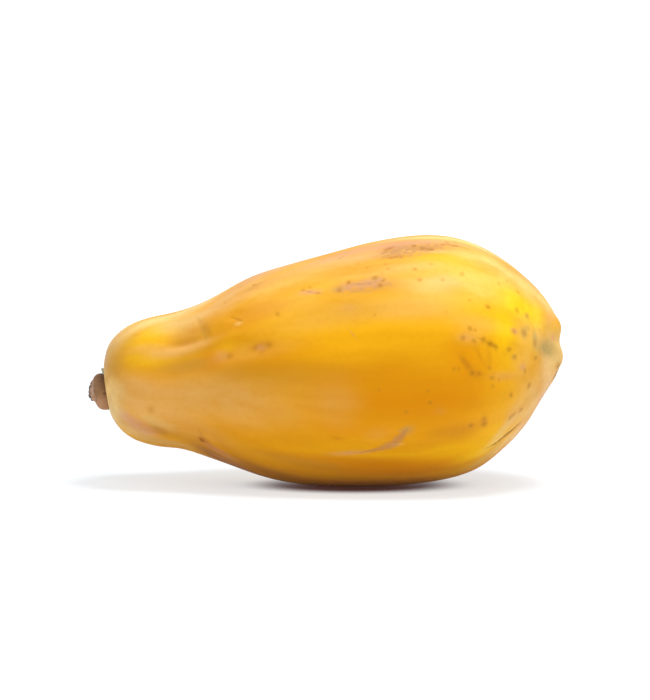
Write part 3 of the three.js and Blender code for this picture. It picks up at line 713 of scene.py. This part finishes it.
def makeRindMaterial():
    look = rindLook
    relief = look["relief"]
    material = bpy.data.materials.new("ripePapayaRind")
    addNode = nodesOf(material)
    noises = makeNoises(addNode, look["noises"])

    # yellow-orange ground in broad clouds and lengthwise bands, its tones, a warm shade in bands and mottle
    clouding, shading = [
        [(noise, (*span, 0, most), look[over], None) for noise, span, most, over in look[name]]
        for name in ("clouding", "shading")]
    patching = [(noise, (*look["patching"], 1 - ragged, 1 + ragged), over, tone)
                for tone, (over, noise, ragged) in tones.items()]
    under = {}
    for noise, span, over, tone in clouding + patching + shading:
        cover = addNode("MapRange", rangeOf(span), {"Value": noises[noise][0]})[0]
        if tone:
            painted = {0: addNode("Attribute", {"attribute_name": tone})["Fac"], 1: cover}
            cover = addNode("Math", {"operation": "MULTIPLY", "use_clamp": True}, painted)[0]
        settings = {"data_type": "RGBA", 6: linearColour(look["ground"]), 7: linearColour(over)}
        colour = addNode("Mix", settings, {0: cover, **under})[2]
        under = {6: colour}

    # fine lengthwise creases and pores
    streaks = {"operation": "MULTIPLY", 1: relief["streak"]}
    height = addNode("Math", streaks, {0: noises["streak"][0]})[0]
    pores = {"operation": "MULTIPLY_ADD", 1: relief["pore"]}
    height = addNode("Math", pores, {0: noises["pore"][0], 2: height})[0]
    spread = {"operation": "MULTIPLY_ADD", 1: [look["fraying"]] * 3, 2: [-look["fraying"] / 2] * 3}
    fray = addNode("VectorMath", spread, {0: noises["fray"][1]})[0]
    frayParts = addNode("SeparateXYZ", {}, {0: fray})

    # scars with frayed, broken lines, and flecks with a halo
    numbered = [(kind, number) for kind in ("stroke", "fleck") for number in range(rind[kind + "Layers"])]
    for kind, number in numbered:
        at = addNode("Attribute", {"attribute_name": f"{kind}At{number}"})["Vector"]
        tint = addNode("Attribute", {"attribute_name": f"{kind}Look{number}"})
        edge = rangeOf(look[kind + "Edge"], smooth=True)
        if kind == "stroke":
            beside, shown, whole = addNode("SeparateXYZ", {}, {0: at})
            wandering = addNode("Math", {"operation": "ADD"}, {0: beside, 1: frayParts[0]})[0]
            away = addNode("Math", {"operation": "ABSOLUTE"}, {0: wandering})[0]
            inside = addNode("MapRange", edge, {"Value": away, "To Max": shown})[0]
            gaps = addNode("MapRange", rangeOf(look["gaps"]), {"Value": frayParts[1], "To Min": whole})[0]
            cover = addNode("Math", {"operation": "MULTIPLY"}, {0: inside, 1: gaps})[0]
        else:
            frayed = addNode("VectorMath", {"operation": "ADD"}, {0: at, 1: fray})[0]
            away = addNode("VectorMath", {"operation": "LENGTH"}, {0: frayed})["Value"]
            halo = addNode("MapRange", rangeOf(look["haloEdge"], smooth=True), {"Value": away})[0]
            ringed = {"data_type": "RGBA", 7: linearColour(look["halo"])}
            colour = addNode("Mix", ringed, {0: halo, 6: colour})[2]
            cover = addNode("MapRange", edge, {"Value": away, "To Max": tint["Alpha"]})[0]
        colour = addNode("Mix", {"data_type": "RGBA"}, {0: cover, 6: colour, 7: tint["Color"]})[2]
        raised = {"operation": "MULTIPLY_ADD", 1: relief[kind]}
        height = addNode("Math", raised, {0: cover, 2: height})[0]

    settings = {"Strength": look["bumpStrength"], "Distance": look["bumpHeight"] * mm}
    bump = addNode("Bump", settings, {"Height": height})[0]
    satin = addNode("MapRange", rangeOf(look["roughness"]), {"Value": noises["cloud"][0]})[0]
    shader = addNode("BsdfPrincipled", {
        "IOR": look["ior"], "Specular IOR Level": look["specular"],
        "Specular Tint": linearColour(look["tint"]),
        "Sheen Weight": look["bloom"], "Sheen Roughness": look["bloomRoughness"],
    }, {"Base Color": colour, "Normal": bump, "Roughness": satin})[0]
    addNode("OutputMaterial", {}, {"Surface": shader})
    return material


def makeFruit():
    draw = np.random.default_rng(rind["seed"])
    fruit = copyOfNode("fruit", "papayaRind")
    applySubdivision(fruit, rind["smoothLevels"])
    bpy.ops.object.shade_smooth()
    shapeRind(fruit, draw)
    print("rind shaped")
    bpy.context.view_layer.update()
    paintTones(fruit, draw)
    paintFlecks(fruit, draw)
    paintStrokes(fruit)
    print("rind painted")
    fruit.data.materials.append(makeRindMaterial())
    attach(fruit, "root")
    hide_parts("fruit")
    return fruit


fruit = makeFruit()
print("rind made:", len(fruit.data.polygons), "faces")


# stalk: the dry woody stub in the neck, torn off where it left the trunk, with the dry calyx lobes that still
# hold on; out is the distance from the shoulder, and all sizes are in mm
stalk = {
    "sides": 96, "smoothLevels": 1, "seed": 5, "rootSeen": 2.5, "shadeSmoothTo": 50,
    # how far out each ring is, and its radius
    "bark": [(-3, 7.2), (-1, 7.7), (0.8, 8), (1.9, 8.15), (2.7, 8.1), (3.5, 7.85), (4.2, 7.4), (4.8, 6.75),
             (5.3, 6), (5.7, 5.3), (6, 4.8)],
    "tornRim": [(6.4, 4.6), (6.8, 4.55), (7.15, 4.3), (7.15, 3.5), (6.8, 3.2)],
    "cutFace": [(6.3, 3), (6, 2.6), (6, 2), (5.8, 1.3), (5, 0.6)],
    # where the bark, the rim and the torn face begin and are whole: out, and the radius of the face
    "barkFrom": (-0.3, 0.8), "rimFrom": (5.9, 6.5), "faceFrom": (4.4, 5.2), "faceWithin": (3.3, 3.0),
    # how the end leans, and how far the whole stub and its end are lifted
    "rimDome": 0.03, "rimTurn": 0.24, "rimTilt": 0.22, "slantFrom": (4.9, 6.5),
    "raised": 0.6, "rimLift": 1.4, "liftFrom": (4.7, 6.3),
    "ridges": 7, "ridgeHeight": 0.07, "fissureDepth": 0.35, "fissureFrom": (1.5, 4.5),
    # size, height and stretch of the unevenness
    "knobs": (3.2, 0.12, (2.5, 1, 1)), "grit": (1.1, 0.03, (4, 1, 1)), "rimKnobs": (1.6, 0.22),
    "faceKnobs": (1.0, 0.16),
    "rimUneven": 0.3, "unevenBeyond": 1.6, "ragged": 0.34, "raggedWaves": (3, 7, 13, 22, 37),
    "curl": (-1.45, 0.6, 0.3),      # where the rim curls back underneath, how wide in radians, and how high
    # how strong a tone is, and then the mm between which it grows, of each thing that it depends on
    "tones": {
        # creviceShade, shade and pith are painted shade: darker in the fissures, towards the top by the
        # shoulder, and in the hollow middle of the torn face
        "creviceShade": (1, (-0.10, -0.4)), "shade": (0.6, (0, 7), (5.3, 2.0)), "pith": (0.8, (1.7, 0.7)),
        "freshSide": (0.7, (-0.5, 3)), "farBark": (0.6, (3.0, 5.4), (3.0, -0.5)), "brokenRim": (0.75, (0, 2)),
        "ruddy": (1, (1.5, -5.0)),
    },
    "pit": (0.9, 0.8, -0.3, 0.25),      # a dark pit in the bark: strength, out, up, and its size squared
    # which way each lobe points, in degrees, and how far it reaches
    "lobes": [(92, 10.7), (164, 9.8), (236, 9.4)],
    "lobeLong": 4.2, "lobeWide": 6.0, "lobeThick": 1.5, "lobeShape": (1.8, 0.8), "lobeTip": 0.05,
    "lobeLift": 0.50, "lobeCurl": 0.30, "curlRange": (0.2, 1.2), "lobeHollow": 0.25, "lobeWave": 0.10,
    "lobeGrid": (12, 10, 0.82),
}


# the middle of the CAD stalk's root and the way it points out of the fruit
def stalkAxis():
    points = readPoints(frame["nodes"]["stalk"])[0]
    rootEnd = points[points[:, 0] > points[:, 0].max() - stalk["rootSeen"]]
    outwards = np.linalg.svd(rootEnd - rootEnd.mean(0))[2][2]
    outwards *= -np.sign(outwards[0])
    return rootEnd.mean(0), outwards


def makeStalkBody(root, outwards):
    shoulder = root - outwards * stalk["bark"][0][0]
    turn = Vector((0, 0, 1)).rotation_difference(Vector(outwards))
    rings = stalk["bark"] + stalk["tornRim"] + stalk["cutFace"]
    start = Vector(shoulder + outwards * rings[0][0]) * mm
    bpy.ops.mesh.primitive_circle_add(vertices=stalk["sides"], radius=rings[0][1] * mm, fill_type="NGON",
                                      location=start, rotation=turn.to_euler())
    body = bpy.context.object
    body.name = body.data.name = "stalkStub"
    bpy.ops.object.mode_set(mode="EDIT")
    bpy.ops.mesh.select_all(action="SELECT")
    for (lastOut, lastRadius), (out, radius) in zip(rings, rings[1:]):
        step = Vector(outwards * (out - lastOut)) * mm
        bpy.ops.mesh.extrude_region_move(TRANSFORM_OT_translate={"value": step})
        centre = Vector(shoulder + outwards * out) * mm
        bpy.ops.transform.resize(value=[radius / lastRadius] * 3, center_override=centre)
    bpy.ops.mesh.poke()
    bpy.ops.mesh.select_all(action="SELECT")
    bpy.ops.mesh.normals_make_consistent(inside=False)
    bpy.ops.object.mode_set(mode="OBJECT")
    bpy.ops.object.transform_apply(location=True, rotation=True, scale=True)
    applySubdivision(body, stalk["smoothLevels"])
    return body, shoulder


def smoothRise(values, low, high):
    share = np.clip((values - low) / (high - low), 0, 1)
    return share * share * (3 - 2 * share)


# how strongly one of the stalk's tones shows, from the values that it depends on
def toneOf(name, *values):
    cover, *limits = stalk["tones"][name]
    for value, span in zip(values, limits):
        cover = cover * smoothRise(value, *span)
    return cover


def shapeStalkBody(body, shoulder, outwards, draw):
    up = np.array((0, 0, 1.0)) - outwards * outwards[2]
    up /= np.linalg.norm(up)
    front = np.cross(up, outwards)
    points = readPoints(body)[0]
    offset = points - shoulder
    out, high, near = offset @ outwards, offset @ up, offset @ front
    radius, angle = np.hypot(high, near), np.arctan2(high, near)
    face = smoothRise(radius, *stalk["faceWithin"]) * smoothRise(out, *stalk["faceFrom"])
    rim = smoothRise(out, *stalk["rimFrom"]) * (1 - face)
    bark = smoothRise(out, *stalk["barkFrom"]) * (1 - face) * (1 - rim)

    def knobs(name):
        size, tall, *stretch = stalk[name]
        return tall * randomWaves(points, size, draw, *stretch)

    # the sines give wandering ridges and fissures, a wavy rim and ragged fibres
    under, wide, curl = stalk["curl"]
    low = np.exp(-((angle - under) / wide) ** 2)
    ridges = np.cos(stalk["ridges"] * angle + 1.2 * np.sin(2 * angle + 1) + 0.15 * out)
    swell = stalk["ridgeHeight"] * ridges * (1 + 0.5 * np.sin(3 * angle + 2)) + knobs("knobs") + knobs("grit")
    fissures = np.abs(np.cos(2.5 * angle + 0.6 * np.sin(3 * angle) + 0.1 * out)) ** 12
    fissures *= smoothRise(out, *stalk["fissureFrom"]) * (0.4 + 0.6 * smoothRise(near, 3, -2))
    swell -= stalk["fissureDepth"] * fissures
    uneven = stalk["rimUneven"] * (np.sin(2 * angle + 1) + 0.6 * np.sin(5 * angle + 2))
    uneven *= radius > stalk["unevenBeyond"]
    swell = swell * bark + (curl * low + knobs("rimKnobs")) * rim + uneven * (rim + face)
    spread = np.outer(np.cos(angle), front) + np.outer(np.sin(angle), up)
    shifted = points + spread * swell[:, None]
    waves = stalk["raggedWaves"]
    torn = sum(np.sin(wave * angle + phase) / wave ** 0.5
               for wave, phase in zip(waves, draw.uniform(0, 6.28, len(waves))))
    reach = stalk["ragged"] * torn * rim + knobs("faceKnobs") * face
    slant = stalk["rimDome"] * high ** 2 + stalk["rimTurn"] * near + stalk["rimTilt"] * high
    reach -= slant * smoothRise(out, *stalk["slantFrom"])
    lift = stalk["raised"] + stalk["rimLift"] * smoothRise(out, *stalk["liftFrom"])
    writePoints(body, shifted + np.outer(reach, outwards) + np.outer(lift, up))

    strength, pitOut, pitHigh, size = stalk["pit"]
    pit = strength * np.exp(-((out - pitOut) ** 2 + (high - pitHigh) ** 2) / size) * (near > 0)
    # painted shade, kept in the alpha: darker in the fissures, towards the top by the shoulder, at the pit
    # and in the hollow middle of the torn face
    shades = [toneOf("creviceShade", swell) * (1 - low) * bark, toneOf("shade", high, out) * bark, pit,
              toneOf("pith", radius) * face]
    weathered = np.maximum(rim * (1 - toneOf("freshSide", near)), bark * toneOf("farBark", out, near))
    pale = np.maximum(face, rim * toneOf("brokenRim", near))
    looks = np.stack([weathered, pale, np.zeros(len(points)), np.maximum.reduce(shades)], axis=1)
    writeAttribute(body, "stalkTones", "FLOAT_COLOR", looks)
    writeAttribute(body, "ruddy", "FLOAT", toneOf("ruddy", high))
    return up, front


# one dry calyx lobe: a small curled scale that lies on the shoulder and points away from the stalk
def makeLobe(degrees, reach, shoulder, outwards, up, front, draw):
    lengthwise, crosswise, narrow = stalk["lobeGrid"]
    bpy.ops.mesh.primitive_grid_add(x_subdivisions=lengthwise, y_subdivisions=crosswise, size=1)
    lobe = bpy.context.object
    lobe.name = lobe.data.name = "calyxLobe"
    bpy.ops.object.mode_set(mode="EDIT")
    bpy.ops.mesh.select_all(action="SELECT")
    bpy.ops.transform.resize(value=(1, narrow, 1))
    bpy.ops.object.mode_set(mode="OBJECT")
    flat = readPoints(lobe)[0] * mm
    along, across = flat[:, 0] + 0.5, flat[:, 1] * 2 / narrow
    away = reach - stalk["lobeLong"] * (1 - along)
    pointed, blunt = stalk["lobeShape"]
    wide = stalk["lobeWide"] / 2 * (1 - along ** pointed) ** blunt + stalk["lobeTip"]
    turn = math.radians(degrees)
    curled = stalk["lobeCurl"] * draw.uniform(*stalk["curlRange"])
    lift = stalk["lobeLift"] + curled * along ** 2 - stalk["lobeHollow"] * across ** 2 * along
    lift += stalk["lobeWave"] * np.sin(5 * across + turn) * along
    pointing = math.cos(turn) * front + math.sin(turn) * up
    sideways = math.cos(turn) * up - math.sin(turn) * front
    placed = shoulder + np.outer(away, pointing) + np.outer(across * wide, sideways) + outwards
    for spot, rise in zip(placed, lift):       # laid on the rind
        hit, place, normal, side = fruit.closest_point_on_mesh(Vector(spot) * mm)
        spot[:] = np.array(place) / mm + np.array(normal) * rise
    writePoints(lobe, placed)
    writeAttribute(lobe, "stalkTones", "FLOAT_COLOR", np.tile((0.0, 0.0, 1.0, 0.0), (len(placed), 1)))
    writeAttribute(lobe, "ruddy", "FLOAT", np.zeros(len(placed)))
    thick = lobe.modifiers.new("thick", "SOLIDIFY")
    thick.thickness = stalk["lobeThick"] * mm
    thick.offset = 0
    bpy.ops.object.modifier_apply(modifier=thick.name)
    applySubdivision(lobe, stalk["smoothLevels"])
    return lobe


# dead papaya stalk wood: dry, matt and fibrous, brown outside, grey at the weathered rim, paler where broken
stalkLook = {
    "dark": "664a2e", "mid": "8f6a47", "ruddy": "ae8462", "rim": "5f5751", "cut": "c4a38c",
    "calyx": "b9bca6", "creviceShade": "4a3220",
    "noises": {"grain": (0.8, 0.16, 5, 0.65), "blotch": (5, 1, 3, 0.5)},
    # from which to which value of the noise, and how strong
    "blotched": 1.2, "ruddyFrom": (0.6, 1.5), "fibre": (0.45, 0.72, 0, 0.35), "worn": (0.3, 0.6, 0.55),
    "bumpStrength": 0.7, "bumpHeight": 0.12, "roughness": 0.82, "specular": 0.3,
}


def makeBarkMaterial():
    look = stalkLook
    material = bpy.data.materials.new("dryPapayaStalkWood")
    addNode = nodesOf(material)
    grain, blotch = [noise[0] for noise in makeNoises(addNode, look["noises"]).values()]
    fibre, worn = [addNode("MapRange", rangeOf(look[name]), {0: grain})[0] for name in ("fibre", "worn")]
    red = addNode("Attribute", {"attribute_name": "ruddy"})["Fac"]
    settings = {"operation": "MULTIPLY_ADD", 1: look["blotched"]}
    blotched = addNode("Math", settings, {0: blotch, 2: red})[0]
    ruddy = addNode("MapRange", rangeOf(look["ruddyFrom"]), {0: blotched})[0]
    settings = {"data_type": "RGBA", 6: linearColour(look["mid"]), 7: linearColour(look["ruddy"])}
    colour = addNode("Mix", settings, {0: ruddy})[2]
    tones = addNode("Attribute", {"attribute_name": "stalkTones"})
    weathered, pale, calyx = list(addNode("SeparateColor", {}, {0: tones["Color"]}))
    # the alpha of stalkTones is painted shade, laid on in the dark crevice shade colour
    layers = [(fibre, None, "dark"), (calyx, worn, "calyx"), (weathered, worn, "rim"), (pale, worn, "cut"),
              (tones["Alpha"], None, "creviceShade")]
    for cover, breakUp, tone in layers:
        if breakUp:
            cover = addNode("Math", {"operation": "MULTIPLY"}, {0: cover, 1: breakUp})[0]
        settings = {"data_type": "RGBA", 7: linearColour(look[tone])}
        colour = addNode("Mix", settings, {0: cover, 6: colour})[2]
    settings = {"Strength": look["bumpStrength"], "Distance": look["bumpHeight"] * mm}
    bump = addNode("Bump", settings, {"Height": grain})[0]
    settings = {"Roughness": look["roughness"], "Specular IOR Level": look["specular"]}
    shader = addNode("BsdfPrincipled", settings, {"Base Color": colour, "Normal": bump})[0]
    addNode("OutputMaterial", {}, {"Surface": shader})
    return material


def makeStalk():
    draw = np.random.default_rng(stalk["seed"])
    root, outwards = stalkAxis()
    body, shoulder = makeStalkBody(root, outwards)
    up, front = shapeStalkBody(body, shoulder, outwards, draw)
    lobes = [makeLobe(*lobe, shoulder, outwards, up, front, draw) for lobe in stalk["lobes"]]
    selectOnly(body, *lobes)
    bpy.ops.object.join()
    bpy.ops.object.shade_smooth_by_angle(angle=math.radians(stalk["shadeSmoothTo"]))
    body.data.materials.append(makeBarkMaterial())
    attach(body, "root")
    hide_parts("stalk")
    return body


stub = makeStalk()
print("stalk made:", len(stub.data.polygons), "faces")
